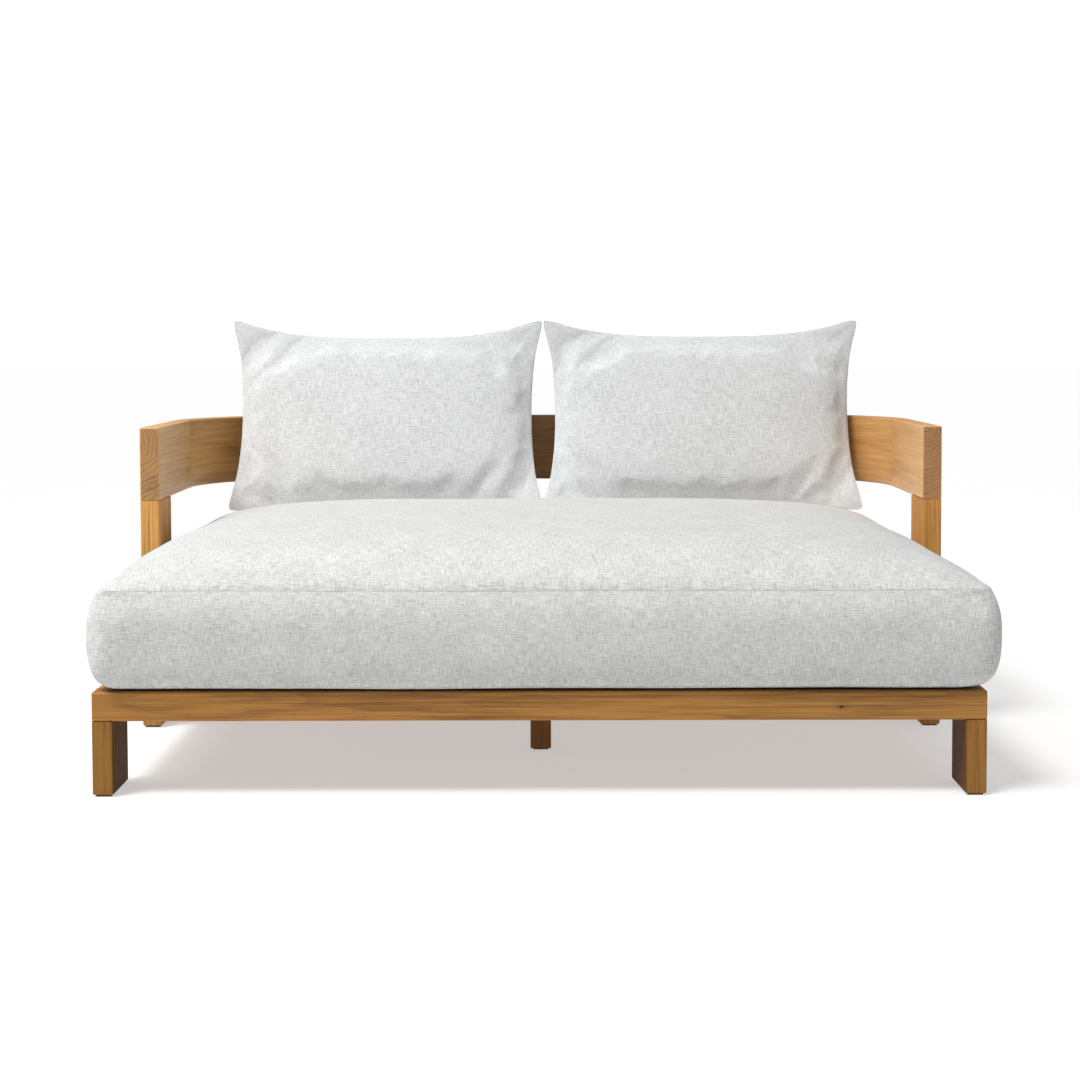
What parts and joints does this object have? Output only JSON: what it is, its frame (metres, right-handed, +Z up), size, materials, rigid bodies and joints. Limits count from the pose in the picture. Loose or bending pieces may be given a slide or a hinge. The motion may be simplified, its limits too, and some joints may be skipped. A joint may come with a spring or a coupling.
{
  "type": "daybed",
  "caption": "Outdoor daybed: slatted wooden platform, U-shaped wooden band on posts for arms and back, thick loose mattress and loose back pillows.",
  "frame": {"origin": "centre of the overall bounding box in plan, on the floor under the glides", "axes": "+X to the sitter's left as seen from the front (the right of a viewer who faces the open front), +Y towards the back band, +Z up"},
  "size_m": [1.8926, 1.3602, 0.9629],
  "materials": {
    "teak_platform": "satin",
    "teak_band": "satin",
    "teak_legs": "satin",
    "teak_slats": "matte",
    "glide_plastic": "matte",
    "bolt_steel": "satin",
    "mattress_fabric": "matte",
    "pillow_fabric": "matte"
  },
  "bodies": {
    "frame": {"arm_bolt_left_1": "bolt_steel", "arm_bolt_left_2": "bolt_steel", "arm_bolt_right_1": "bolt_steel", "arm_bolt_right_2": "bolt_steel", "arm_left": "teak_band", "arm_post_left": "teak_legs", "arm_post_right": "teak_legs", "arm_right": "teak_band", "back_band": "teak_band", "band_corner_left": "teak_band", "band_corner_right": "teak_band", "bearer_left": "teak_slats", "bearer_right": "teak_slats", "centre_beam": "teak_slats", "centre_leg_front": "teak_slats", "centre_leg_rear": "teak_slats", "corner_block_left": "teak_slats", "corner_block_right": "teak_slats", "corner_rail_left": "teak_platform", "corner_rail_right": "teak_platform", "front_leg_left": "teak_legs", "front_leg_right": "teak_legs", "front_rail": "teak_platform", "glide_arm_post_left": "glide_plastic", "glide_arm_post_right": "glide_plastic", "glide_centre_leg_front": "glide_plastic", "glide_centre_leg_rear": "glide_plastic", "glide_front_leg_left": "glide_plastic", "glide_front_leg_right": "glide_plastic", "glide_rear_post_left": "glide_plastic", "glide_rear_post_right": "glide_plastic", "rear_bolt_left_1": "bolt_steel", "rear_bolt_left_2": "bolt_steel", "rear_bolt_right_1": "bolt_steel", "rear_bolt_right_2": "bolt_steel", "rear_post_left": "teak_legs", "rear_post_right": "teak_legs", "rear_rail": "teak_platform", "side_rail_left": "teak_platform", "side_rail_right": "teak_platform", "slat_01": "teak_slats", "slat_02": "teak_slats", "slat_03": "teak_slats", "slat_04": "teak_slats", "slat_05": "teak_slats", "slat_06": "teak_slats", "slat_07": "teak_slats", "slat_08": "teak_slats", "slat_09": "teak_slats", "slat_10": "teak_slats", "slat_11": "teak_slats", "slat_12": "teak_slats", "slat_13": "teak_slats"},
    "mattress": {"mattress": "mattress_fabric"},
    "pillow_left": {"pillow_left": "pillow_fabric"},
    "pillow_right": {"pillow_right": "pillow_fabric"}
  },
  "joints": [
    {"name": "mattress_lift", "type": "slide", "parent": "frame", "child": "mattress", "axis": [0, 0, 1], "range_m": [0, 0.6]},
    {"name": "pillow_left_lift", "type": "slide", "parent": "mattress", "child": "pillow_left", "axis": [0, 0, 1], "range_m": [0, 0.4]},
    {"name": "pillow_right_lift", "type": "slide", "parent": "mattress", "child": "pillow_right", "axis": [0, 0, 1], "range_m": [0, 0.4]}
  ]
}
